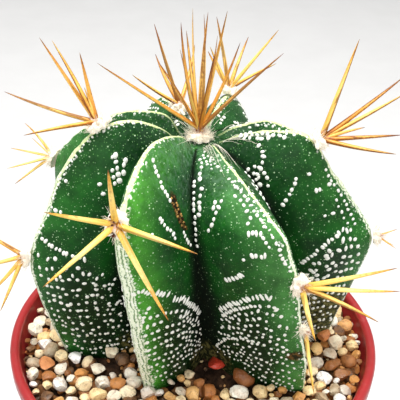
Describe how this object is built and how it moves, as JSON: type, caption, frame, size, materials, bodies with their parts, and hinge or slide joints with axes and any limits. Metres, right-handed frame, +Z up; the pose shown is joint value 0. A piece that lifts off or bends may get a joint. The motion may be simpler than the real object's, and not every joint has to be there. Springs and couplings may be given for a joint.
{
  "type": "potted cactus",
  "caption": "Ribbed star cactus with white flecks, woolly areoles and amber spines, rooted in soil under a gravel topping in a round red plastic nursery pot.",
  "frame": {"origin": "centre of the pot's flat underside", "axes": "+Z up through the pot, -Y towards the front of the plant as it is pictured, +X to its right"},
  "size_m": [0.1089, 0.1178, 0.1749],
  "materials": {
    "pot_plastic": "satin",
    "soil": "matte",
    "gravel": "matte",
    "flesh": "satin",
    "wool": "matte",
    "spine": "satin"
  },
  "bodies": {
    "root": {"pot": "pot_plastic", "soil": "soil", "gravel": "gravel", "cactus_body": "flesh", "wool_crown": "wool", "wool_a1": "wool", "wool_b1": "wool", "wool_b2": "wool", "wool_c1": "wool", "wool_c2": "wool", "wool_d1": "wool", "wool_d2": "wool", "wool_e1": "wool", "wool_f1": "wool", "wool_f2": "wool", "wool_g1": "wool", "wool_g2": "wool", "wool_h1": "wool", "spines_crown": "spine", "spines_a1": "spine", "spines_b1": "spine", "spines_b2": "spine", "spines_c1": "spine", "spines_c2": "spine", "spines_d1": "spine", "spines_d2": "spine", "spines_e1": "spine", "spines_f1": "spine", "spines_f2": "spine", "spines_g1": "spine", "spines_g2": "spine", "spines_h1": "spine"}
  },
  "joints": []
}
